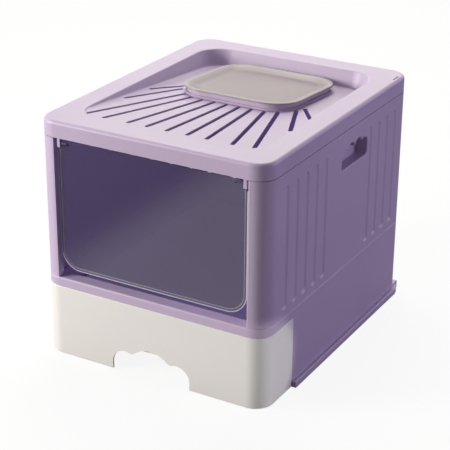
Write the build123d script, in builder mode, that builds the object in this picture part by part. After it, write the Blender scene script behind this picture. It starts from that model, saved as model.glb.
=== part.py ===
from build123d import *
from math import atan2, cos, degrees, hypot, radians, sin, tan
import os

os.makedirs("parts", exist_ok=True)

# Outer form of the whole box, millimetres, front towards -Y
body_width = 410
body_depth = 510
total_height = 407
corner_radius = 32
wall = 3.2
edge_round = 1.5
seam_gap = 0.3
running_gap = 0.4
overrun = 5

# Base: low walls, a sill over the drawer and a bead round the foot
base_height = 140
sill_height = 15.5
sill_depth = 22
sill_round = 3
flange_overhang = 7
flange_height = 11
flange_round = 3
wing_gap = 1
runner_width = 22
runner_height = 13.6

# Drawer: a front that wraps the corners, and the litter pan behind it
drawer_wrap = 94
drawer_lift = 1
drawer_top_gap = 0.7
tray_wall = 2.6
tray_floor_gap = 0.4
tray_height = 77.5
tray_side_gap = 2.2
tray_back_gap = 7
tray_corner_radius = 14
ramp_length = 114
ramp_height = 32
notch_half_width = 72
notch_lobe_radius = 24
notch_lobe_height = 14
notch_crown_height = 50
notch_crown_radius = 46
notch_cusp_round = 10

# Lid: skirt, sloping recess, slots and the hatch opening
lid_skirt = 27
lid_seam = 1
lid_edge_round = 6
rim_width = 41
front_rim_width = 43
recess_depth = 30
recess_corner_radius = 45
recess_draft = 25
recess_floor_round = 4
recess_lip_round = 3
slot_width = 7.5
slot_front_margin = 9
catch_slot_length = 20
catch_slot_width = 2.4
catch_slot_inset = 8.5
catch_slot_from_back = 43

# Hatch that closes the top way out
hatch_width = 213
hatch_length = 208
hatch_corner_radius = 50
hatch_back_gap = 16
hatch_thickness = 3
hatch_rim = 6.5
dish_depth = 5.5
dish_skin = 2.4
dish_draft = 72
dish_floor_round = 25
dish_rim_round = 3
collar_inset = 6
collar_wall = 3
collar_height = 10
collar_gap = 0.8
ledge_inset = 2.5
ledge_height = 3
hatch_hinge_setback = 2
hatch_hinge_height = 8.1
hatch_pin_radius = 1.2
hatch_knuckle_radius = 2.4
hatch_knuckle_length = 16
hatch_knuckle_place = 35

# Flap door that hangs from the lid
flap_side_gap = 3.5
flap_sill_gap = 15.5
flap_top_gap = 4
flap_setback = 7
flap_thickness = 2.2
flap_rim_width = 5
flap_rim_thickness = 3.6
flap_lower_radius = 35
flap_upper_radius = 6
flap_notch_round = 3
flap_axis_below_lid = 10
flap_pin_radius = 1.6
flap_boss_radius = 4
flap_boss_length = 10
lug_width = 5
lug_gap = 1.5
lug_thickness = 9
lug_drop = 16
lug_rise = 15

# Folding panels and their hinges at the base
groove_pitch = 32.4
grooves_ahead = 5
grooves_behind = 4
first_groove_inset = 60
last_groove_inset = 61
groove_width = 17
groove_depth = 1.8
groove_draft = 65
groove_foot_gap = 12
groove_head_gap = 20.5
back_groove_count = 9
hinge_inset = 7
hinge_pin_radius = 2
pin_gap = 0.05
ear_radius = 5.2
ear_thickness = 5
ear_gap = 0.5
strap_width = 40
strap_rise = 12
strap_front_inset = 130
strap_back_inset = 85
back_strap_inset = 65
fold_gap = 1.2

# Paw-shaped hand hole in each side, closed by a cup behind it
hand_centre_behind_middle = 41
hand_base_below_lid = 65.5
hand_width = 97
hand_height = 24
hand_round = 8.5
hand_depth = 20
hand_bevel = 1.2
bevel_angle = 45
toe_radius = 14
inner_toe_spacing = 27
outer_toe_spacing = 69
inner_toe_rise = 24.5
outer_toe_rise = 18.5
cup_wall = 2

# Corner posts that plug into the base and the lid
tenon_height = 10
tenon_wall = 3
post_return = 14

# Sizes that follow from the ones above
half_width = body_width / 2
half_depth = body_depth / 2
mid = -flange_overhang / 2
front = mid - half_depth
back = mid + half_depth
lid_bottom = total_height - lid_skirt
sill_bottom = base_height - sill_height
bay_depth = drawer_wrap + wing_gap
doorway_width = body_width - 2 * corner_radius
panel_bottom = base_height + seam_gap
panel_top = lid_bottom - lid_seam
panel_height = panel_top - panel_bottom
side_panel_length = body_depth - 2 * corner_radius - 2 * seam_gap
back_panel_width = doorway_width - 2 * seam_gap
tray_bottom = runner_height + tray_floor_gap
tray_top = tray_bottom + tray_height
inner_face_reach = hinge_inset - wall
knuckle_radius = inner_face_reach - running_gap
cup_reach = hand_depth - wall + cup_wall
hand_base = lid_bottom - hand_base_below_lid

# Folded panels lie in layers: the right one over the pan, then the left one, then the back one
side_axis_x = half_width - hinge_inset
back_axis_y = back - hinge_inset
right_axis_height = tray_top + fold_gap + cup_reach - inner_face_reach
left_axis_height = right_axis_height + hinge_inset + fold_gap + cup_reach - inner_face_reach
back_axis_height = left_axis_height + hinge_inset + fold_gap - inner_face_reach
axis_heights = {"left": left_axis_height, "right": right_axis_height, "back": back_axis_height}
side_signs = {"left": -1, "right": 1}
side_straps_ends = (-half_depth + strap_front_inset, half_depth - strap_back_inset)
side_straps = (side_straps_ends[0], sum(side_straps_ends) / 2, side_straps_ends[1])
back_straps_end = back_panel_width / 2 - back_strap_inset
back_straps = (-back_straps_end, 0, back_straps_end)
straps = {"left": side_straps, "right": side_straps, "back": back_straps}
ear_offset = strap_width / 2 + ear_gap + ear_thickness / 2
hinge_pin_length = strap_width + 2 * ear_gap + 2 * ear_thickness

# The recess floor falls from the front rim to the back wall
recess_width = body_width - 2 * rim_width
recess_length = body_depth - 2 * front_rim_width
floor_normal = (0, sin(atan2(recess_depth, recess_length)), cos(atan2(recess_depth, recess_length)))
floor_plane = Plane((0, mid, total_height - recess_depth / 2), x_dir=(1, 0, 0), z_dir=floor_normal)
floor_axis = Axis((0, 0, 0), floor_normal)
hatch_centre = recess_length / 2 - hatch_back_gap - hatch_length / 2
hatch_underside = collar_height + collar_gap
hatch_axis_along = hatch_centre + hatch_length / 2 - hatch_hinge_setback

# The flap's hinge line
flap_axis_y = front + flap_setback + flap_thickness / 2
flap_axis_z = lid_bottom - flap_axis_below_lid
flap_top = lid_bottom - flap_top_gap
flap_bottom = base_height + flap_sill_gap
flap_height = flap_top - flap_bottom
flap_width = doorway_width - 2 * flap_side_gap
flap_notch_width = lug_width + 2 * lug_gap
flap_neck_width = flap_width - 2 * flap_notch_width
lug_place = flap_neck_width / 2 + lug_gap + lug_width / 2
lug_front = flap_axis_y - front - wall
lug_swing = hypot(max(lug_front, lug_thickness - lug_front), lug_drop - flap_axis_below_lid)
flap_notch_depth = flap_axis_below_lid - flap_top_gap + lug_swing + lug_gap

front_face = Plane((0, front, 0), x_dir=(1, 0, 0), z_dir=(0, -1, 0))
back_face = Plane((0, back, 0), x_dir=(-1, 0, 0), z_dir=(0, 1, 0))


def level(height):
    """Plan of the box at a height, with its middle at the middle of the body."""
    return Plane((0, mid, height))


def side_face(side, inset):
    """A side wall's face seen from outside, moved inwards, with height as its second axis."""
    sign = side_signs[side]
    return Plane((sign * (half_width - inset), mid, 0), x_dir=(0, sign, 0), z_dir=(sign, 0, 0))


def hinge_place(side, along):
    """A point of a panel's hinge line: first axis towards the wall, second axis up."""
    height = axis_heights[side]
    if side == "back":
        return Plane((along, back_axis_y, height), x_dir=(0, 1, 0), z_dir=(1, 0, 0))
    sign = side_signs[side]
    return Plane((sign * side_axis_x, mid + along, height), x_dir=(sign, 0, 0), z_dir=(0, -sign, 0))


def corner_ring(place, inset, thickness, column, row):
    """A quarter ring at one corner of the plan, cut from the body's outline moved inwards."""
    reach = corner_radius - inset
    with BuildSketch(place) as ring:
        RectangleRounded(body_width - 2 * inset, body_depth - 2 * inset, reach)
        offset(amount=-thickness, mode=Mode.SUBTRACT)
        with Locations((column * (half_width - inset - reach / 2), row * (half_depth - inset - reach / 2))):
            Rectangle(reach, reach, mode=Mode.INTERSECT)
    return ring.sketch


def ear_profile(place):
    """Section of a hinge ear: a round end with the pin's hole, on a web that runs to the wall."""
    web = inner_face_reach + wall / 2
    with BuildSketch(place) as ear:
        Circle(ear_radius)
        with Locations((web / 2, -ear_radius / 2)):
            Rectangle(web, ear_radius)
        Circle(hinge_pin_radius + pin_gap, mode=Mode.SUBTRACT)
    return ear.sketch


def strap_profile(place, axis_height):
    """Section of a panel's hinge strap: a knuckle on a leg that steps out to the panel."""
    rise = panel_bottom + strap_rise - axis_height
    leg_outer = knuckle_radius
    leg_inner = leg_outer - wall
    with BuildSketch(place) as strap:
        Circle(knuckle_radius)
        with Locations(((leg_inner + leg_outer) / 2, rise / 2)):
            Rectangle(wall, rise)
        with Locations(((leg_inner + hinge_inset - wall / 2) / 2, rise - strap_rise / 2)):
            Rectangle(hinge_inset - wall / 2 - leg_inner, strap_rise)
        Circle(hinge_pin_radius + pin_gap, mode=Mode.SUBTRACT)
    return strap.sketch


def hand_outline(place, growth):
    """Paw outline of the hand hole, seen from outside: a broad pad with four toe lobes above it."""
    inner_toe = inner_toe_spacing / 2
    outer_toe = outer_toe_spacing / 2
    toes = ((-outer_toe, outer_toe_rise), (-inner_toe, inner_toe_rise))
    toes += ((inner_toe, inner_toe_rise), (outer_toe, outer_toe_rise))
    with BuildSketch(place) as outline:
        with Locations((0, hand_height / 2)):
            RectangleRounded(hand_width, hand_height, hand_round)
        with Locations(*toes):
            Circle(toe_radius)
        if growth:
            offset(amount=growth)
    return outline.sketch


def hand_place(side, inset):
    """The middle of the hand hole's lower edge, on a side face moved inwards."""
    sign = side_signs[side]
    along = mid + hand_centre_behind_middle
    return Plane((sign * (half_width - inset), along, hand_base), x_dir=(0, sign, 0), z_dir=(sign, 0, 0))


# Bead round the foot of the base, open at the front where the drawer's wings end
with BuildPart() as flange_bead:
    with BuildSketch(level(0)):
        outer_radius = corner_radius + flange_overhang
        RectangleRounded(body_width + 2 * flange_overhang, body_depth + 2 * flange_overhang, outer_radius)
        RectangleRounded(body_width - wall, body_depth - wall, corner_radius - wall / 2, mode=Mode.SUBTRACT)
        with Locations((0, -half_depth)):
            Rectangle(body_width + 4 * flange_overhang, 2 * bay_depth, mode=Mode.SUBTRACT)
    extrude(amount=flange_height)
    bead_top = flange_bead.faces().sort_by(Axis.Z)[-1]
    bead_arcs = bead_top.edges().filter_by(GeomType.CIRCLE).sort_by(SortBy.RADIUS)[-2:]
    bead_runs = bead_top.edges().filter_by(Axis.Y)
    bead_sides = bead_runs.filter_by(lambda edge: abs(edge.center().X) > half_width)
    bead_back = bead_top.edges().filter_by(Axis.X).sort_by(Axis.Y)[-1:]
    fillet(bead_arcs + bead_sides + bead_back, radius=flange_round)

# Base: one moulding with low walls, the sill bar, the drawer's runners and the hinge ears
cheek_outer = half_width - wall - wing_gap
cheek_length = bay_depth - corner_radius + wall
cheek_along = -half_depth + corner_radius + cheek_length / 2
shelf_width = half_width - wall / 2 - (cheek_outer - wall)
shelf_place = half_width - wall / 2 - shelf_width / 2
runner_length = body_depth - bay_depth - wall / 2
runner_along = half_depth - wall / 2 - runner_length / 2
runner_place = half_width - wall / 2 - runner_width / 2
with BuildPart() as base_frame:
    with BuildSketch(level(0)):
        RectangleRounded(body_width, body_depth, corner_radius)
        offset(amount=-wall, mode=Mode.SUBTRACT)
    extrude(amount=base_height)
    # The mouth below the sill, where the drawer's front and wings go
    with BuildSketch(level(0)):
        with Locations((0, -half_depth)):
            Rectangle(body_width + 2 * overrun, 2 * bay_depth)
    extrude(amount=sill_bottom, mode=Mode.SUBTRACT)
    # The sill bar over the drawer, hollow from below
    with BuildSketch(level(sill_bottom)):
        with Locations((0, -half_depth + sill_depth / 2)):
            Rectangle(doorway_width, sill_depth)
    extrude(amount=sill_height)
    with BuildSketch(level(sill_bottom)):
        with Locations((0, -half_depth + sill_depth / 2)):
            Rectangle(doorway_width - 2 * wall, sill_depth - 2 * wall)
    extrude(amount=sill_height - wall, mode=Mode.SUBTRACT)
    # Cheeks inside the drawer's wings, with a shelf up to the rim and a step back to the walls
    with BuildSketch(level(0)):
        with Locations(*[(sign * (cheek_outer - wall / 2), cheek_along) for sign in (-1, 1)]):
            Rectangle(wall, cheek_length)
        with Locations(*[(sign * shelf_place, -half_depth + bay_depth + wall / 2) for sign in (-1, 1)]):
            Rectangle(shelf_width, wall)
    extrude(amount=sill_bottom + wall)
    with BuildSketch(level(sill_bottom)):
        with Locations(*[(sign * shelf_place, cheek_along) for sign in (-1, 1)]):
            Rectangle(shelf_width, cheek_length)
    extrude(amount=wall)
    # Runners that carry the pan
    with BuildSketch(level(0)):
        with Locations(*[(sign * runner_place, runner_along) for sign in (-1, 1)]):
            Rectangle(runner_width, runner_length)
    extrude(amount=runner_height)
    add(flange_bead.part)
    # Hinge ears in pairs, one each side of every strap
    for side in ("left", "right", "back"):
        for along in straps[side]:
            for end in (-1, 1):
                ear_place = hinge_place(side, along + end * ear_offset)
                extrude(ear_profile(ear_place), ear_thickness / 2, both=True)
    sill_edge = base_frame.edges().filter_by(Axis.X).group_by(Axis.Y)[0].sort_by(Axis.Z)[-1]
    fillet(sill_edge, radius=sill_round)
base_frame.part.label = "base_frame"
export_step(base_frame.part, "parts/base_frame.step")

# Drawer front: a shallow U in plan with a lobed finger notch in its lower edge
drawer_front_height = sill_bottom - drawer_top_gap - drawer_lift
crown_centre = notch_crown_height - notch_crown_radius
lobe_place = notch_half_width - notch_lobe_radius
with BuildPart() as drawer_front:
    with BuildSketch(level(drawer_lift)):
        RectangleRounded(body_width, body_depth, corner_radius)
        offset(amount=-wall, mode=Mode.SUBTRACT)
        with Locations((0, drawer_wrap)):
            Rectangle(body_width + 2 * overrun, body_depth, mode=Mode.SUBTRACT)
    extrude(amount=drawer_front_height)
    rim_edges = drawer_front.faces().filter_by(Axis.Z).edges()
    rim_arcs = rim_edges.filter_by(GeomType.CIRCLE)
    rim_sides = rim_edges.filter_by(Axis.Y)
    outer_rim = rim_edges.filter_by(Axis.X).group_by(Axis.Y)[0]
    outer_rim += rim_arcs.filter_by(lambda edge: edge.radius > corner_radius - wall / 2)
    outer_rim += rim_sides.filter_by(lambda edge: abs(edge.center().X) > half_width - wall / 2)
    fillet(outer_rim, radius=edge_round)
    with BuildSketch(front_face) as notch:
        with Locations((0, crown_centre)):
            Circle(notch_crown_radius)
        with Locations((0, notch_crown_height / 2)):
            Rectangle(2 * lobe_place, notch_crown_height, mode=Mode.INTERSECT)
        with Locations((-lobe_place, notch_lobe_height), (lobe_place, notch_lobe_height)):
            Circle(notch_lobe_radius)
        with Locations((0, notch_lobe_height / 2)):
            Rectangle(2 * notch_half_width, notch_lobe_height)
        fillet(notch.vertices().sort_by(Axis.Y)[-2:], radius=notch_cusp_round)
    extrude(amount=-2 * wall, mode=Mode.SUBTRACT)
drawer_front.part.label = "drawer_front"
export_step(drawer_front.part, "parts/drawer_front.step")

# Litter pan: a tray with a ramp behind the front, which leaves room for the fingers under it
tray_half_width = cheek_outer - wall - tray_side_gap
tray_front_radius = corner_radius - wall
tray_front = front + wall
tray_back = back - wall - tray_back_gap
with BuildPart() as drawer_tray:
    with BuildSketch(Plane.XY.offset(tray_bottom)) as tray_plan:
        with Locations((0, (tray_front + tray_back) / 2)):
            Rectangle(2 * tray_half_width, tray_back - tray_front)
        fillet(tray_plan.vertices().group_by(Axis.Y)[0], radius=tray_front_radius)
        fillet(tray_plan.vertices().group_by(Axis.Y)[-1], radius=tray_corner_radius)
    extrude(amount=tray_height)
    with BuildSketch(Plane.YZ):
        with BuildLine():
            Polyline(
                (tray_front, tray_bottom),
                (tray_front, tray_bottom + ramp_height),
                (tray_front + ramp_length, tray_bottom),
                close=True,
            )
        make_face()
    extrude(amount=half_width, both=True, mode=Mode.SUBTRACT)
    tray_mouth = drawer_tray.faces().sort_by(Axis.Z)[-1]
    offset(amount=-tray_wall, openings=tray_mouth)
drawer_tray.part.label = "drawer_tray"
export_step(drawer_tray.part, "parts/drawer_tray.step")

# Side panels: grooved plates with a hand hole, on straps that reach down to the hinge line
groove_length = panel_height - groove_foot_gap - groove_head_gap
groove_height = panel_bottom + groove_foot_gap + groove_length / 2
front_grooves = [first_groove_inset - half_depth + groove_pitch * step for step in range(grooves_ahead)]
rear_grooves = [half_depth - last_groove_inset - groove_pitch * step for step in range(grooves_behind)]
for side in ("left", "right"):
    sign = side_signs[side]
    with BuildPart() as side_panel:
        with BuildSketch(side_face(side, 0)):
            with Locations((0, panel_bottom + panel_height / 2)):
                Rectangle(side_panel_length, panel_height)
        extrude(amount=-wall)
        with BuildSketch(side_face(side, 0)):
            with Locations(*[(sign * along, groove_height) for along in front_grooves + rear_grooves]):
                SlotOverall(groove_length, groove_width, rotation=90)
        extrude(amount=-groove_depth, taper=groove_draft, mode=Mode.SUBTRACT)
        extrude(hand_outline(hand_place(side, 0), 0), amount=-wall - overrun, mode=Mode.SUBTRACT)
        bevel_outline = hand_outline(hand_place(side, 0), hand_bevel)
        extrude(bevel_outline, amount=-hand_bevel, taper=bevel_angle, mode=Mode.SUBTRACT)
        for along in side_straps:
            extrude(strap_profile(hinge_place(side, along), axis_heights[side]), strap_width / 2, both=True)
    side_panel.part.label = f"side_panel_{side}"
    export_step(side_panel.part, f"parts/side_panel_{side}.step")

# Grip cups: paw-shaped pockets fixed behind the hand holes, so that litter stays in
for side in ("left", "right"):
    with BuildPart() as grip_cup:
        extrude(hand_outline(hand_place(side, wall), cup_wall), amount=-cup_reach)
        extrude(hand_outline(hand_place(side, wall), 0), amount=cup_wall - cup_reach, mode=Mode.SUBTRACT)
    grip_cup.part.label = f"grip_cup_{side}"
    export_step(grip_cup.part, f"parts/grip_cup_{side}.step")

# Back panel: a grooved plate between the rear posts
first_back_groove = -groove_pitch * (back_groove_count - 1) / 2
back_grooves = [first_back_groove + groove_pitch * step for step in range(back_groove_count)]
with BuildPart() as back_panel:
    with BuildSketch(back_face):
        with Locations((0, panel_bottom + panel_height / 2)):
            Rectangle(back_panel_width, panel_height)
    extrude(amount=-wall)
    with BuildSketch(back_face):
        with Locations(*[(place, groove_height) for place in back_grooves]):
            SlotOverall(groove_length, groove_width, rotation=90)
    extrude(amount=-groove_depth, taper=groove_draft, mode=Mode.SUBTRACT)
    for along in back_straps:
        extrude(strap_profile(hinge_place("back", along), back_axis_height), strap_width / 2, both=True)
back_panel.part.label = "back_panel"
export_step(back_panel.part, "parts/back_panel.step")

# Hinge pins: one short rod through each strap and its two ears
for side in ("left", "right", "back"):
    with BuildPart() as hinge_pins:
        for along in straps[side]:
            with BuildSketch(hinge_place(side, along)):
                Circle(hinge_pin_radius)
        extrude(amount=hinge_pin_length / 2, both=True)
    hinge_pins.part.label = f"hinge_pins_{side}"
    export_step(hinge_pins.part, f"parts/hinge_pins_{side}.step")

# Corner posts: rounded shells with a tenon at each end, and a return beside the doorway in front
tenon_inset = wall + seam_gap
for row_name, row in (("front", -1), ("rear", 1)):
    for column_name, column in (("left", -1), ("right", 1)):
        with BuildPart() as corner_post:
            extrude(corner_ring(level(panel_bottom), 0, wall, column, row), amount=panel_height)
            for seat, rise in ((panel_bottom, tenon_height), (panel_top, -tenon_height)):
                extrude(corner_ring(level(seat), wall, tenon_wall, column, row), amount=rise)
                tenon = corner_ring(level(seat), tenon_inset, tenon_wall - seam_gap, column, row)
                extrude(tenon, amount=-rise)
            with BuildSketch(level(panel_bottom)):
                return_place = row * (half_depth - post_return / 2)
                with Locations((column * (doorway_width / 2 + wall / 2), return_place)):
                    Rectangle(wall, post_return)
            extrude(amount=panel_height)
        corner_post.part.label = f"corner_post_{row_name}_{column_name}"
        export_step(corner_post.part, f"parts/corner_post_{row_name}_{column_name}.step")

# The hollow of the lid's recess, and the same form grown by the wall to make its shell
recess_top = total_height + 2 * recess_floor_round
flare = (recess_top - total_height) * tan(radians(recess_draft))
flared_width = recess_width + 2 * flare
flared_length = recess_length + 2 * flare
flared_radius = recess_corner_radius + flare
with BuildPart() as recess_hollow:
    with BuildSketch(level(recess_top)):
        RectangleRounded(flared_width, flared_length, flared_radius)
    extrude(amount=total_height - recess_top - recess_depth - overrun, taper=recess_draft)
    split(bisect_by=floor_plane, keep=Keep.TOP)
    fillet(recess_hollow.faces().sort_by(Axis.Z)[0].edges(), radius=recess_floor_round)
with BuildPart() as recess_shell:
    with BuildSketch(level(recess_top)):
        RectangleRounded(flared_width + 2 * wall, flared_length + 2 * wall, flared_radius + wall)
    extrude(amount=total_height - recess_top - recess_depth - wall - overrun, taper=recess_draft)
    split(bisect_by=floor_plane.offset(-wall), keep=Keep.TOP)
    fillet(recess_shell.faces().sort_by(Axis.Z)[0].edges(), radius=recess_floor_round + wall)
    split(bisect_by=level(total_height), keep=Keep.BOTTOM)

# Places of the slots that fan out from the hatch, for one half of the lid and its middle
slot_outer_across_shares = (0, 0.222, 0.43, 0.703, 0.925, 0.93, 0.92)
slot_outer_along_shares = (-1, -1, -1, -1, -1, -0.43, -0.065)
slot_inner_across_shares = (0, 0.216, 0.423, 0.63, 0.81, 1.0, 1.055)
slot_inner_along_shares = (-1, -1, -0.995, -0.98, -0.875, -0.655, -0.485)
slot_ends = []
for share, depth_share, inner_share, inner_depth_share in zip(
    slot_outer_across_shares, slot_outer_along_shares, slot_inner_across_shares, slot_inner_along_shares
):
    outer_end = (share * recess_width / 2, depth_share * (recess_length / 2 - slot_front_margin))
    inner_along = hatch_centre + inner_depth_share * hatch_length / 2
    inner_end = (inner_share * hatch_width / 2, inner_along)
    slot_ends.append((outer_end, inner_end))

# Lid: skirt and top in one shell, with the slotted recess, the collar and the hinge lugs
collar_width = hatch_width - 2 * collar_inset
collar_length = hatch_length - 2 * collar_inset
collar_radius = hatch_corner_radius - collar_inset
catch_place = half_width - catch_slot_inset
catch_along = half_depth - catch_slot_from_back
with BuildPart() as lid:
    with BuildSketch(level(lid_bottom)):
        RectangleRounded(body_width, body_depth, corner_radius)
    extrude(amount=lid_skirt)
    fillet(lid.faces().sort_by(Axis.Z)[-1].edges(), radius=lid_edge_round)
    with BuildSketch(level(lid_bottom)):
        RectangleRounded(body_width - 2 * wall, body_depth - 2 * wall, corner_radius - wall)
    extrude(amount=lid_skirt - wall, mode=Mode.SUBTRACT)
    add(recess_shell.part)
    add(recess_hollow.part, mode=Mode.SUBTRACT)
    rim_top = lid.faces().filter_by(Axis.Z).sort_by(Axis.Z)[-1]
    fillet(rim_top.inner_wires()[0].edges(), radius=recess_lip_round)
    # Collar round the hatch opening, on a low ledge that shows round the hatch but stops short of its hinge
    with BuildSketch(floor_plane.offset(-wall / 2)):
        ledge_setback = collar_inset + collar_wall / 2
        with Locations((0, hatch_centre + (ledge_inset - ledge_setback) / 2)):
            ledge_length = hatch_length - ledge_inset - ledge_setback
            RectangleRounded(hatch_width - 2 * ledge_inset, ledge_length, hatch_corner_radius - ledge_inset)
    extrude(amount=ledge_height + wall / 2)
    with BuildSketch(floor_plane.offset(-wall / 2)):
        with Locations((0, hatch_centre)):
            RectangleRounded(collar_width, collar_length, collar_radius)
    extrude(amount=collar_height + wall / 2)
    with BuildSketch(floor_plane.offset(collar_height)):
        with Locations((0, hatch_centre)):
            opening_radius = collar_radius - collar_wall
            RectangleRounded(collar_width - 2 * collar_wall, collar_length - 2 * collar_wall, opening_radius)
    extrude(amount=-collar_height - 2 * wall, mode=Mode.SUBTRACT)
    # Slots that fan out from the hatch
    with BuildSketch(floor_plane):
        for outer_end, inner_end in slot_ends:
            for mirror_sign in (-1, 1):
                across = outer_end[0] - inner_end[0]
                along = outer_end[1] - inner_end[1]
                middle = (outer_end[0] - across / 2, outer_end[1] - along / 2)
                turn = degrees(atan2(along, mirror_sign * across))
                with Locations((mirror_sign * middle[0], middle[1])):
                    SlotOverall(hypot(across, along), slot_width, rotation=turn)
    extrude(amount=-2 * wall, mode=Mode.SUBTRACT)
    # Narrow catch slot by the right rear corner
    with BuildSketch(level(total_height)):
        with Locations((catch_place, catch_along)):
            SlotOverall(catch_slot_length, catch_slot_width, rotation=90)
    extrude(amount=-wall - overrun, mode=Mode.SUBTRACT)
    # Lugs inside the skirt that hold the flap's pins
    for sign in (-1, 1):
        lug_origin = (sign * lug_place, front + wall, lid_bottom)
        with BuildSketch(Plane(lug_origin, x_dir=(0, 1, 0), z_dir=(1, 0, 0))):
            with Locations((lug_thickness / 2 - wall / 2, lug_rise / 2 - lug_drop / 2)):
                RectangleRounded(lug_thickness + wall, lug_rise + lug_drop, edge_round)
            with Locations((-wall, -lug_drop / 2)):
                Rectangle(2 * wall, lug_drop, mode=Mode.SUBTRACT)
            with Locations((flap_axis_y - front - wall, -flap_axis_below_lid)):
                Circle(flap_pin_radius + pin_gap, mode=Mode.SUBTRACT)
        extrude(amount=lug_width / 2, both=True)
    # Ears for the hatch's hinge
    for sign in (-1, 1):
        for end in (-1, 1):
            ear_across = sign * hatch_knuckle_place
            ear_across += end * (hatch_knuckle_length / 2 + ear_gap + collar_wall / 2)
            ear_origin = floor_plane.from_local_coords((ear_across, hatch_axis_along, hatch_hinge_height))
            with BuildSketch(Plane(ear_origin, x_dir=floor_plane.y_dir, z_dir=floor_plane.x_dir)):
                Circle(hatch_knuckle_radius)
                with Locations((0, -hatch_hinge_height / 2 - wall / 4)):
                    Rectangle(2 * hatch_knuckle_radius, hatch_hinge_height + wall / 2)
                Circle(hatch_pin_radius + pin_gap, mode=Mode.SUBTRACT)
            extrude(amount=collar_wall / 2, both=True)
lid.part.label = "lid"
export_step(lid.part, "parts/lid.step")

# Hatch: a dished cover with a raised rim, lying on the slope, with two hinge knuckles at its back
with BuildPart() as hatch:
    hatch_top = hatch_underside + hatch_thickness
    with BuildSketch(floor_plane.offset(hatch_underside)):
        with Locations((0, hatch_centre)):
            RectangleRounded(hatch_width, hatch_length, hatch_corner_radius)
    extrude(amount=hatch_thickness)
    fillet(hatch.faces().sort_by(floor_axis)[-1].edges(), radius=edge_round)
    belly_inset = hatch_rim + dish_skin
    belly_depth = dish_depth + dish_skin - hatch_thickness
    with BuildSketch(floor_plane.offset(hatch_underside)):
        with Locations((0, hatch_centre)):
            belly_radius = hatch_corner_radius - belly_inset
            RectangleRounded(hatch_width - 2 * belly_inset, hatch_length - 2 * belly_inset, belly_radius)
    extrude(amount=-belly_depth, taper=dish_draft)
    with BuildSketch(floor_plane.offset(hatch_top)):
        with Locations((0, hatch_centre)):
            dish_radius = hatch_corner_radius - hatch_rim
            RectangleRounded(hatch_width - 2 * hatch_rim, hatch_length - 2 * hatch_rim, dish_radius)
    extrude(amount=-dish_depth, taper=dish_draft, mode=Mode.SUBTRACT)
    dish_floor = hatch.faces(Select.LAST).sort_by(SortBy.AREA)[-1]
    fillet(dish_floor.edges(), radius=dish_floor_round)
    rim_face = hatch.faces().filter_by(floor_plane).sort_by(floor_axis)[-1]
    fillet(rim_face.inner_wires()[0].edges(), radius=dish_rim_round)
    for sign in (-1, 1):
        knuckle_middle = (sign * hatch_knuckle_place, hatch_axis_along, hatch_hinge_height)
        knuckle_origin = floor_plane.from_local_coords(knuckle_middle)
        knuckle_rise = hatch_underside + hatch_thickness / 2 - hatch_hinge_height
        with BuildSketch(Plane(knuckle_origin, x_dir=floor_plane.y_dir, z_dir=floor_plane.x_dir)):
            Circle(hatch_knuckle_radius)
            with Locations(((hatch_hinge_setback - hatch_knuckle_radius) / 2, knuckle_rise / 2)):
                Rectangle(hatch_hinge_setback + hatch_knuckle_radius, knuckle_rise)
            Circle(hatch_pin_radius + pin_gap, mode=Mode.SUBTRACT)
        extrude(amount=hatch_knuckle_length / 2, both=True)
hatch.part.label = "hatch"
export_step(hatch.part, "parts/hatch.step")

# Hatch pins: one rod through each knuckle and its two ears
with BuildPart() as hatch_pins:
    for sign in (-1, 1):
        pin_middle = (sign * hatch_knuckle_place, hatch_axis_along, hatch_hinge_height)
        pin_origin = floor_plane.from_local_coords(pin_middle)
        with BuildSketch(Plane(pin_origin, x_dir=floor_plane.y_dir, z_dir=floor_plane.x_dir)):
            Circle(hatch_pin_radius)
    extrude(amount=hatch_knuckle_length / 2 + ear_gap + collar_wall, both=True)
hatch_pins.part.label = "hatch_pins"
export_step(hatch_pins.part, "parts/hatch_pins.step")

# Flap: a clear sheet with a thicker rim, round lower corners, a notch for each lug and a boss beside it
flap_plane = Plane((0, flap_axis_y, flap_bottom), x_dir=(1, 0, 0), z_dir=(0, -1, 0))
with BuildPart() as flap:
    with BuildSketch(flap_plane) as flap_outline:
        with Locations((0, flap_height / 2)):
            Rectangle(flap_width, flap_height)
        fillet(flap_outline.vertices().group_by(Axis.Y)[0], radius=flap_lower_radius)
        for sign in (-1, 1):
            with Locations((sign * (flap_width - flap_notch_width) / 2, flap_height - flap_notch_depth / 2)):
                Rectangle(flap_notch_width, flap_notch_depth, mode=Mode.SUBTRACT)
        fillet(flap_outline.vertices().group_by(Axis.Y)[-2], radius=flap_notch_round)
        fillet(flap_outline.vertices().group_by(Axis.Y)[-1], radius=flap_upper_radius)
    extrude(amount=flap_rim_thickness / 2, both=True)
    pane_outline = offset(flap_outline.sketch, amount=-flap_rim_width, mode=Mode.PRIVATE)
    for face_sign in (-1, 1):
        pane_level = flap_plane.offset(face_sign * flap_thickness / 2)
        pane_cut = pane_level.location * flap_plane.location.inverse() * pane_outline
        extrude(pane_cut, amount=face_sign * flap_thickness, mode=Mode.SUBTRACT)
    for sign in (-1, 1):
        boss_across = sign * (flap_neck_width / 2 - flap_boss_length / 2)
        boss_plane = Plane((boss_across, flap_axis_y, flap_axis_z), x_dir=(0, 1, 0), z_dir=(1, 0, 0))
        with BuildSketch(boss_plane):
            Circle(flap_boss_radius)
        extrude(amount=flap_boss_length / 2, both=True)
        with BuildSketch(boss_plane):
            Circle(flap_pin_radius + pin_gap)
        extrude(amount=flap_boss_length / 2 + overrun, both=True, mode=Mode.SUBTRACT)
flap.part.label = "flap"
export_step(flap.part, "parts/flap.step")

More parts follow.
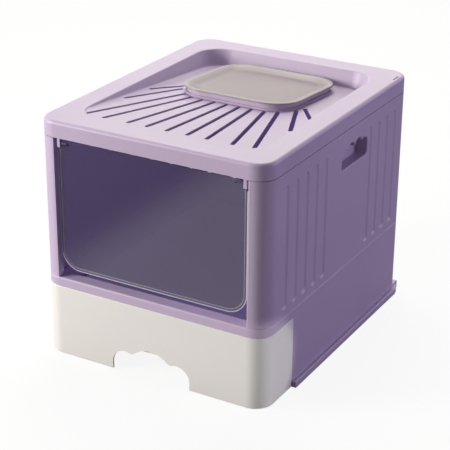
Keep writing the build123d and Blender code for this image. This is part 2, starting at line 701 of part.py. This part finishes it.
# Flap pins: a short rod at each end, from the lug into the flap's boss
flap_pin_length = flap_boss_length + lug_gap + lug_width
with BuildPart() as flap_pins:
    for sign in (-1, 1):
        pin_across = sign * (flap_neck_width / 2 - flap_boss_length + flap_pin_length / 2)
        with BuildSketch(Plane((pin_across, flap_axis_y, flap_axis_z), x_dir=(0, 1, 0), z_dir=(1, 0, 0))):
            Circle(flap_pin_radius)
    extrude(amount=flap_pin_length / 2, both=True)
flap_pins.part.label = "flap_pins"
export_step(flap_pins.part, "parts/flap_pins.step")
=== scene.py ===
import math

import bmesh
import bpy
from mathutils import Matrix, Vector


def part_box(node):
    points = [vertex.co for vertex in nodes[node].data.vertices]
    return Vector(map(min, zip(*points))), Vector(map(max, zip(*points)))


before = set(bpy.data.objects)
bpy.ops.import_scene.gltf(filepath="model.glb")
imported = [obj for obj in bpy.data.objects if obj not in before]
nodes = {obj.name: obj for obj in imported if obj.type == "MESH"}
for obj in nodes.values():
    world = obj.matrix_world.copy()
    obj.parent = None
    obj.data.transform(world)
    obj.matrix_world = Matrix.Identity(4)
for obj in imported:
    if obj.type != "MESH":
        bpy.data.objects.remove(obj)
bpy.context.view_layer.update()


# Base: one lilac polypropylene moulding with low walls, the sill over the drawer, runners and hinge ears.
# It is moulded in one shot with a fine spark-eroded grain, and a rounded bead stiffens its foot.
def moulded_plastic(name, colour, roughness, grain_size, grain_height, mottle_share, wear_and_highlight_share):
    """Satin moulded plastic: an even colour that drifts a little, and a fine grain in the surface."""
    pigment_scale = 7
    wear_and_highlight_radius = 0.002
    flat_turn, sharp_turn = 0.99, 0.75
    polish_spread = 0.05
    material = bpy.data.materials.new(name)
    material.use_nodes = True
    links = material.node_tree.links
    make = material.node_tree.nodes.new
    shader = material.node_tree.nodes["Principled BSDF"]
    place = make("ShaderNodeTexCoord")
    # The slow drift of the pigment
    drift = make("ShaderNodeTexNoise")
    drift.inputs["Scale"].default_value = pigment_scale
    drift.inputs["Detail"].default_value = 3
    links.new(place.outputs["Object"], drift.inputs["Vector"])
    tint = make("ShaderNodeValToRGB")
    low, high = tint.color_ramp.elements
    low.position, high.position = 0.3, 0.7
    low.color = (*[channel * (1 - mottle_share) for channel in colour], 1)
    high.color = (*[min(1, channel * (1 + mottle_share)) for channel in colour], 1)
    links.new(drift.outputs["Fac"], tint.inputs["Fac"])
    # Handling wears the edges a little paler, and the paler edges are also a painted highlight along them
    softened = make("ShaderNodeBevel")
    softened.samples = 6
    softened.inputs["Radius"].default_value = wear_and_highlight_radius
    shape = make("ShaderNodeNewGeometry")
    edge_turn = make("ShaderNodeVectorMath")
    edge_turn.operation = "DOT_PRODUCT"
    links.new(softened.outputs["Normal"], edge_turn.inputs[0])
    links.new(shape.outputs["Normal"], edge_turn.inputs[1])
    edge_wear_and_highlight = make("ShaderNodeMapRange")
    edge_wear_and_highlight.inputs["From Min"].default_value = flat_turn
    edge_wear_and_highlight.inputs["From Max"].default_value = sharp_turn
    edge_wear_and_highlight.inputs["To Max"].default_value = wear_and_highlight_share
    links.new(edge_turn.outputs["Value"], edge_wear_and_highlight.inputs["Value"])
    worn_and_highlit_edge = make("ShaderNodeMix")
    worn_and_highlit_edge.data_type = "RGBA"
    worn_and_highlit_edge.inputs["B"].default_value = (*[0.5 + channel / 2 for channel in colour], 1)
    links.new(edge_wear_and_highlight.outputs["Result"], worn_and_highlit_edge.inputs["Factor"])
    links.new(tint.outputs["Color"], worn_and_highlit_edge.inputs["A"])
    links.new(worn_and_highlit_edge.outputs["Result"], shader.inputs["Base Color"])
    # The spark-eroded grain of the mould
    grain = make("ShaderNodeTexNoise")
    grain.inputs["Scale"].default_value = 1 / grain_size
    grain.inputs["Detail"].default_value = 2
    links.new(place.outputs["Object"], grain.inputs["Vector"])
    relief = make("ShaderNodeBump")
    relief.inputs["Strength"].default_value = 0.5
    relief.inputs["Distance"].default_value = grain_height
    links.new(grain.outputs["Fac"], relief.inputs["Height"])
    links.new(relief.outputs["Normal"], shader.inputs["Normal"])
    # Handling polishes the plastic here and there
    sheen_map = make("ShaderNodeMapRange")
    sheen_map.inputs["From Min"].default_value = 0.35
    sheen_map.inputs["From Max"].default_value = 0.65
    sheen_map.inputs["To Min"].default_value = roughness - polish_spread
    sheen_map.inputs["To Max"].default_value = roughness + polish_spread
    links.new(drift.outputs["Fac"], sheen_map.inputs["Value"])
    links.new(sheen_map.outputs["Result"], shader.inputs["Roughness"])
    return material


def dress(material, *names):
    """Gives CAD nodes a finish."""
    for name in names:
        nodes[name].data.materials.clear()
        nodes[name].data.materials.append(material)


body_plastic = moulded_plastic(
    "body_plastic",
    colour=(0.50, 0.40, 0.575),
    roughness=0.42,
    grain_size=0.0009,
    grain_height=0.00006,
    mottle_share=0.02,
    wear_and_highlight_share=0.3,
)
dress(body_plastic, "base_frame")

# Litter drawer: a cream front that wraps the corners, fixed to the pan that runs in the base.
# Both are moulded in the same cream polypropylene, a little glossier than the body.
drawer_plastic = moulded_plastic(
    "drawer_plastic",
    colour=(0.78, 0.75, 0.755),
    roughness=0.36,
    grain_size=0.0008,
    grain_height=0.00004,
    mottle_share=0.012,
    wear_and_highlight_share=0.3,
)
dress(drawer_plastic, "drawer_front", "drawer_tray")

# Folding walls: two sides with hand holes and a back, each a grooved plate on three hinge straps.
# The paw-shaped cups behind the hand holes are pressed on from inside, in the same plastic.
dress(body_plastic, "side_panel_left", "side_panel_right", "back_panel", "grip_cup_left", "grip_cup_right")

# Pins: plain moulded rods that are pushed through the ears and lugs of the walls, the hatch and the flap.
# They hardly show from outside, so their darker shade is a guess.
pin_plastic = moulded_plastic(
    "pin_plastic",
    colour=(0.22, 0.18, 0.30),
    roughness=0.4,
    grain_size=0.0006,
    grain_height=0.00003,
    mottle_share=0.02,
    wear_and_highlight_share=0.3,
)
dress(pin_plastic, "hinge_pins_left", "hinge_pins_right", "hinge_pins_back", "hatch_pins", "flap_pins")

# Corner posts: rounded shells that plug into the base and carry the lid.
# They have the body's plastic and grain.
post_names = [f"corner_post_{row}_{column}" for row in ("front", "rear") for column in ("left", "right")]
dress(body_plastic, *post_names)

# Lid: skirt, sloping slotted recess and the collar of the top way out, in one moulding.
# Litter that the cat carries up falls back through the slots.
dress(body_plastic, "lid")

# Hatch: a dished cover over the top way out, hinged at its back edge.
# It is moulded in a milky grey plastic. Its top rim is painted paler than its dish as a painted highlight,
# and its edges carry a stronger painted edge highlight than the body's.
recess_fall = 0.03
recess_length = 0.424
hatch_highlight_depth = 0.003
hatch_highlight_share = 0.4
hatch_highlight_colour = (0.46, 0.425, 0.42, 1)
hatch_plastic = moulded_plastic(
    "hatch_plastic",
    colour=(0.23, 0.175, 0.205),
    roughness=0.38,
    grain_size=0.0008,
    grain_height=0.00004,
    mottle_share=0.012,
    wear_and_highlight_share=0.75,
)
hatch_tree = hatch_plastic.node_tree
# The hatch lies along the recess's slope, so its rim, where the highlight is painted, is what is highest
# square to that slope
hatch_slope = math.atan2(recess_fall, recess_length)
hatch_lean = Vector((0, math.sin(hatch_slope), math.cos(hatch_slope)))
hatch_top = max(hatch_lean.dot(vertex.co) for vertex in nodes["hatch"].data.vertices)
hatch_place = hatch_tree.nodes.new("ShaderNodeTexCoord")
hatch_height = hatch_tree.nodes.new("ShaderNodeVectorMath")
hatch_height.operation = "DOT_PRODUCT"
hatch_height.inputs[1].default_value = hatch_lean
hatch_tree.links.new(hatch_place.outputs["Object"], hatch_height.inputs[0])
rim_highlight_share = hatch_tree.nodes.new("ShaderNodeMapRange")
rim_highlight_share.inputs["From Min"].default_value = hatch_top - hatch_highlight_depth
rim_highlight_share.inputs["From Max"].default_value = hatch_top
rim_highlight_share.inputs["To Max"].default_value = hatch_highlight_share
hatch_tree.links.new(hatch_height.outputs["Value"], rim_highlight_share.inputs["Value"])
hatch_highlight_tint = hatch_tree.nodes.new("ShaderNodeMix")
hatch_highlight_tint.data_type = "RGBA"
hatch_highlight_tint.inputs["B"].default_value = hatch_highlight_colour
hatch_shader = hatch_tree.nodes["Principled BSDF"]
hatch_tree.links.new(rim_highlight_share.outputs["Result"], hatch_highlight_tint.inputs["Factor"])
hatch_tree.links.new(hatch_shader.inputs["Base Color"].links[0].from_socket, hatch_highlight_tint.inputs["A"])
hatch_tree.links.new(hatch_highlight_tint.outputs["Result"], hatch_shader.inputs["Base Color"])
dress(hatch_plastic, "hatch")

# Flap door: a smoky clear sheet with a thicker rim, which hangs from two pins in the lid's lugs.
# It is moulded in tinted polycarbonate, polished on both faces, and the bright lines along its rim's edges
# are painted highlights.
flap_low, flap_high = [Vector(corner) for corner in (nodes["flap"].bound_box[0], nodes["flap"].bound_box[6])]
flap_corner_radius = 0.035
flap_rim_width = 0.005
highlight_line_width = 0.0013
inner_highlight_share = 0.45
pane_alpha = 0.75
highlight_alpha_gain = 0.2
wipe_turn = 0.5
wipe_scale = (14, 14, 160)
pane_roughness = (0.05, 0.14)
pane_colour = (0.06, 0.036, 0.125, 1)
rim_highlight_colour = (0.62, 0.58, 0.66, 1)
flap_plastic = bpy.data.materials.new("flap_plastic")
flap_plastic.use_nodes = True
flap_tree = flap_plastic.node_tree
pane = flap_tree.nodes["Principled BSDF"]
pane.inputs["IOR"].default_value = 1.58
pane.inputs["Coat Weight"].default_value = 0.8


def reckon(tree, operation, *values):
    """A maths node on sockets and numbers."""
    node = tree.nodes.new("ShaderNodeMath")
    node.operation = operation
    for socket, value in zip(node.inputs, values):
        if isinstance(value, bpy.types.NodeSocket):
            tree.links.new(value, socket)
        else:
            socket.default_value = value
    return node.outputs["Value"]


flap_place = flap_tree.nodes.new("ShaderNodeTexCoord")
flap_axes = flap_tree.nodes.new("ShaderNodeSeparateXYZ")
flap_tree.links.new(flap_place.outputs["Object"], flap_axes.inputs["Vector"])
# How far a point lies inside the flap's outline, with its round lower corners
aside = reckon(flap_tree, "ABSOLUTE", flap_axes.outputs["X"])
past_side = reckon(flap_tree, "SUBTRACT", aside, flap_high.x - flap_corner_radius)
past_foot = reckon(flap_tree, "SUBTRACT", flap_low.z + flap_corner_radius, flap_axes.outputs["Z"])
corner_x = reckon(flap_tree, "MAXIMUM", past_side, 0)
corner_z = reckon(flap_tree, "MAXIMUM", past_foot, 0)
corner_square = reckon(flap_tree, "MULTIPLY_ADD", corner_x, corner_x, reckon(flap_tree, "POWER", corner_z, 2))
outside = reckon(flap_tree, "SQRT", corner_square)
inside = reckon(flap_tree, "SUBTRACT", flap_corner_radius, outside)
# Painted highlights: a bright line along the outer edge and a fainter one along the rim's inner edge, both a
# little more opaque
outer_highlight_line = reckon(flap_tree, "LESS_THAN", inside, highlight_line_width)
inner_highlight_line = reckon(flap_tree, "COMPARE", inside, flap_rim_width, highlight_line_width / 2)
painted_rim_highlight = reckon(flap_tree, "MULTIPLY_ADD", inner_highlight_line, inner_highlight_share, outer_highlight_line)
pane_and_highlight_tint = flap_tree.nodes.new("ShaderNodeMix")
pane_and_highlight_tint.data_type = "RGBA"
pane_and_highlight_tint.inputs["A"].default_value = pane_colour
pane_and_highlight_tint.inputs["B"].default_value = rim_highlight_colour
flap_tree.links.new(painted_rim_highlight, pane_and_highlight_tint.inputs["Factor"])
flap_tree.links.new(pane_and_highlight_tint.outputs["Result"], pane.inputs["Base Color"])
pane_opacity = reckon(flap_tree, "MULTIPLY_ADD", painted_rim_highlight, highlight_alpha_gain, pane_alpha)
flap_tree.links.new(pane_opacity, pane.inputs["Alpha"])
# Faint wipe marks in the polish
wipe_stretch = flap_tree.nodes.new("ShaderNodeMapping")
wipe_stretch.inputs["Rotation"].default_value = (0, wipe_turn, 0)
wipe_stretch.inputs["Scale"].default_value = wipe_scale
flap_tree.links.new(flap_place.outputs["Object"], wipe_stretch.inputs["Vector"])
wipes = flap_tree.nodes.new("ShaderNodeTexNoise")
wipes.inputs["Detail"].default_value = 4
flap_tree.links.new(wipe_stretch.outputs["Vector"], wipes.inputs["Vector"])
polish = flap_tree.nodes.new("ShaderNodeMapRange")
polish.inputs["To Min"].default_value, polish.inputs["To Max"].default_value = pane_roughness
flap_tree.links.new(wipes.outputs["Fac"], polish.inputs["Value"])
flap_tree.links.new(polish.outputs["Result"], pane.inputs["Roughness"])
dress(flap_plastic, "flap")


# Floor: a plain sheet that the camera, also through the clear flap, sees nearly white with a faint shadow.
# Its bounce is dim, and mirror rays see it white only in a patch in front of the box, a painted reflection
# that makes the sheen across the flap.
floor_half = 6
floor_glow_share = 0.9
floor_bounce_colour = (0.15, 0.145, 0.17, 1)
floor_seen_colour = (0.9, 0.9, 0.9, 1)
sheen_patch_left_edge = (-0.45, -0.28)
sheen_patch_back_edge = (-0.25, -0.35)
floor_mesh = bpy.data.meshes.new("floor")
floor_form = bmesh.new()
bmesh.ops.create_grid(floor_form, x_segments=1, y_segments=1, size=floor_half)
floor_form.to_mesh(floor_mesh)
floor_form.free()
floor = bpy.data.objects.new("floor", floor_mesh)
bpy.context.scene.collection.objects.link(floor)
floor_paint = bpy.data.materials.new("floor_paint")
floor_paint.use_nodes = True
floor_tree = floor_paint.node_tree
floor_shader = floor_tree.nodes["Principled BSDF"]
floor_shader.inputs["Roughness"].default_value = 0.9
floor_glow = floor_tree.nodes.new("ShaderNodeEmission")
floor_path = floor_tree.nodes.new("ShaderNodeLightPath")
floor_mix = floor_tree.nodes.new("ShaderNodeMixShader")
floor_straight = floor_path.outputs["Is Camera Ray"]
floor_through = floor_path.outputs["Is Transmission Ray"]
floor_seen = reckon(floor_tree, "MAXIMUM", floor_straight, floor_through)
floor_share = reckon(floor_tree, "MULTIPLY", floor_seen, floor_glow_share)
floor_tint = floor_tree.nodes.new("ShaderNodeMix")
floor_tint.data_type = "RGBA"
floor_tint.inputs["A"].default_value = floor_bounce_colour
floor_tint.inputs["B"].default_value = floor_seen_colour
floor_tree.links.new(floor_seen, floor_tint.inputs["Factor"])
floor_tree.links.new(floor_tint.outputs["Result"], floor_shader.inputs["Base Color"])
floor_place = floor_tree.nodes.new("ShaderNodeTexCoord")
floor_axes = floor_tree.nodes.new("ShaderNodeSeparateXYZ")
floor_tree.links.new(floor_place.outputs["Object"], floor_axes.inputs["Vector"])


def fade(tree, value, start, end):
    """A soft step from 0 at one value to 1 at another."""
    node = tree.nodes.new("ShaderNodeMapRange")
    node.interpolation_type = "SMOOTHSTEP"
    node.inputs["From Min"].default_value = start
    node.inputs["From Max"].default_value = end
    tree.links.new(value, node.inputs["Value"])
    return node.outputs["Result"]


# The patch in front of the box glows only for mirror rays, a painted reflection in the flap
sheen_patch_across = fade(floor_tree, floor_axes.outputs["X"], *sheen_patch_left_edge)
sheen_patch_ahead = fade(floor_tree, floor_axes.outputs["Y"], *sheen_patch_back_edge)
sheen_patch_seen = reckon(floor_tree, "MULTIPLY", sheen_patch_across, sheen_patch_ahead)
painted_sheen_share = reckon(floor_tree, "MULTIPLY", sheen_patch_seen, floor_path.outputs["Is Glossy Ray"])
floor_white = reckon(floor_tree, "MAXIMUM", floor_share, painted_sheen_share)
floor_tree.links.new(floor_white, floor_mix.inputs["Fac"])
floor_tree.links.new(floor_shader.outputs["BSDF"], floor_mix.inputs[1])
floor_tree.links.new(floor_glow.outputs["Emission"], floor_mix.inputs[2])
floor_tree.links.new(floor_mix.outputs["Shader"], floor_tree.nodes["Material Output"].inputs["Surface"])
floor_mesh.materials.append(floor_paint)

# Studio: a dim violet sky lights the object from all round.
# The camera, mirrors and clear plastic see a white backdrop in its place.
world = bpy.data.worlds.new("studio")
bpy.context.scene.world = world
world.use_nodes = True
world_tree = world.node_tree
sky = world_tree.nodes["Background"]
sky.inputs["Color"].default_value = (0.82, 0.77, 1, 1)
sky.inputs["Strength"].default_value = 0.12
backdrop = world_tree.nodes.new("ShaderNodeBackground")
backdrop.inputs["Color"].default_value = (1, 1, 1, 1)
world_path = world_tree.nodes.new("ShaderNodeLightPath")
world_mix = world_tree.nodes.new("ShaderNodeMixShader")
world_mirrored = world_path.outputs["Is Glossy Ray"]
world_through = world_path.outputs["Is Transmission Ray"]
seen_by_gloss = reckon(world_tree, "MAXIMUM", world_mirrored, world_through)
world_seen = reckon(world_tree, "MAXIMUM", world_path.outputs["Is Camera Ray"], seen_by_gloss)
world_tree.links.new(world_seen, world_mix.inputs["Fac"])
world_tree.links.new(sky.outputs["Background"], world_mix.inputs[1])
world_tree.links.new(backdrop.outputs["Background"], world_mix.inputs[2])
world_tree.links.new(world_mix.outputs["Shader"], world_tree.nodes["World Output"].inputs["Surface"])


# Lamps: four softboxes round the object, a dim lamp inside it and a narrow beam on the drawer.
# The key stands to the front left, and the side light only fills the shade on the right.
def softbox(name, place, aim, size, power, colour):
    """A square studio light that faces a point of the object."""
    lamp = bpy.data.lights.new(name, "AREA")
    lamp.shape = "SQUARE"
    lamp.size = size
    lamp.energy = power
    lamp.color = colour
    light = bpy.data.objects.new(name, lamp)
    light.location = place
    light.rotation_mode = "QUATERNION"
    light.rotation_quaternion = (Vector(aim) - Vector(place)).to_track_quat("-Z", "Y")
    bpy.context.scene.collection.objects.link(light)


softbox("key_light", (-2.32, -2.04, 1.03), (0, 0, 0.2), size=1.2, power=119, colour=(1, 0.99, 0.89))
softbox("top_light", (-0.6, 1.15, 2.6), (0, 0, 0.4), size=1.6, power=52, colour=(1, 1, 0.86))
softbox("back_light", (-1.3, 2.3, 1.85), (0, 0, 0.3), size=2.0, power=15, colour=(1, 1, 0.86))
softbox("side_light", (2.6, 1.2, 0.5), (0, 0, 0.2), size=1.2, power=27, colour=(0.79, 0.71, 1))
# The dim lamp stands for daylight that seeps into the box through its thin walls
seep = bpy.data.lights.new("seeping_light", "POINT")
seep.energy = 0.35
seep.color = (0.5, 0.4, 1)
seep.shadow_soft_size = 0.1
seep_place = bpy.data.objects.new("seeping_light", seep)
seep_place.location = (0, 0.02, 0.25)
bpy.context.scene.collection.objects.link(seep_place)
# The beam is about as large as the drawer's wrapped side, which it lifts out of the shade
beam_spread_share = 1.5
beam_inset_share = 0.9
drawer_low, drawer_high = [Vector(corner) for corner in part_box("drawer_front")]
beam_half = (drawer_high.z - drawer_low.z) / 2
beam_radius = beam_spread_share * beam_half
beam_along = drawer_high.y - beam_inset_share * beam_radius
beam_aim = Vector((drawer_high.x, beam_along, drawer_low.z + beam_half))
beam = bpy.data.lights.new("drawer_beam", "SPOT")
beam_place = bpy.data.objects.new("drawer_beam", beam)
beam_place.location = (1.1, -0.42, 0.06)
beam_throw = beam_aim - beam_place.location
beam.energy = 10
beam.color = (0.95, 1, 0.82)
beam.spot_size = 2 * math.atan2(beam_radius, beam_throw.length)
beam.spot_blend = 0.3
beam.shadow_soft_size = 0.01
beam_place.rotation_mode = "QUATERNION"
beam_place.rotation_quaternion = beam_throw.to_track_quat("-Z", "Y")
bpy.context.scene.collection.objects.link(beam_place)

# Camera: a long lens from the front right and above, turned a little about its own axis.
# Its place and lens were fitted to the object's straight edges.
camera_data = bpy.data.cameras.new("camera")
camera_data.sensor_width = 36
camera_data.lens = 115.69
camera = bpy.data.objects.new("camera", camera_data)
camera_place = Vector((1.09943, -1.94927, 1.16443))
camera_aim = Vector((-0.01092, -0.0035, 0.1710))
camera_roll = math.radians(0.42)
camera.rotation_mode = "QUATERNION"
camera.location = camera_place
looking = (camera_aim - camera_place).to_track_quat("-Z", "Y").to_matrix()
camera.rotation_quaternion = (looking @ Matrix.Rotation(camera_roll, 3, "Z")).to_quaternion()
bpy.context.scene.collection.objects.link(camera)
bpy.context.scene.camera = camera
bpy.context.scene.view_settings.view_transform = "Standard"
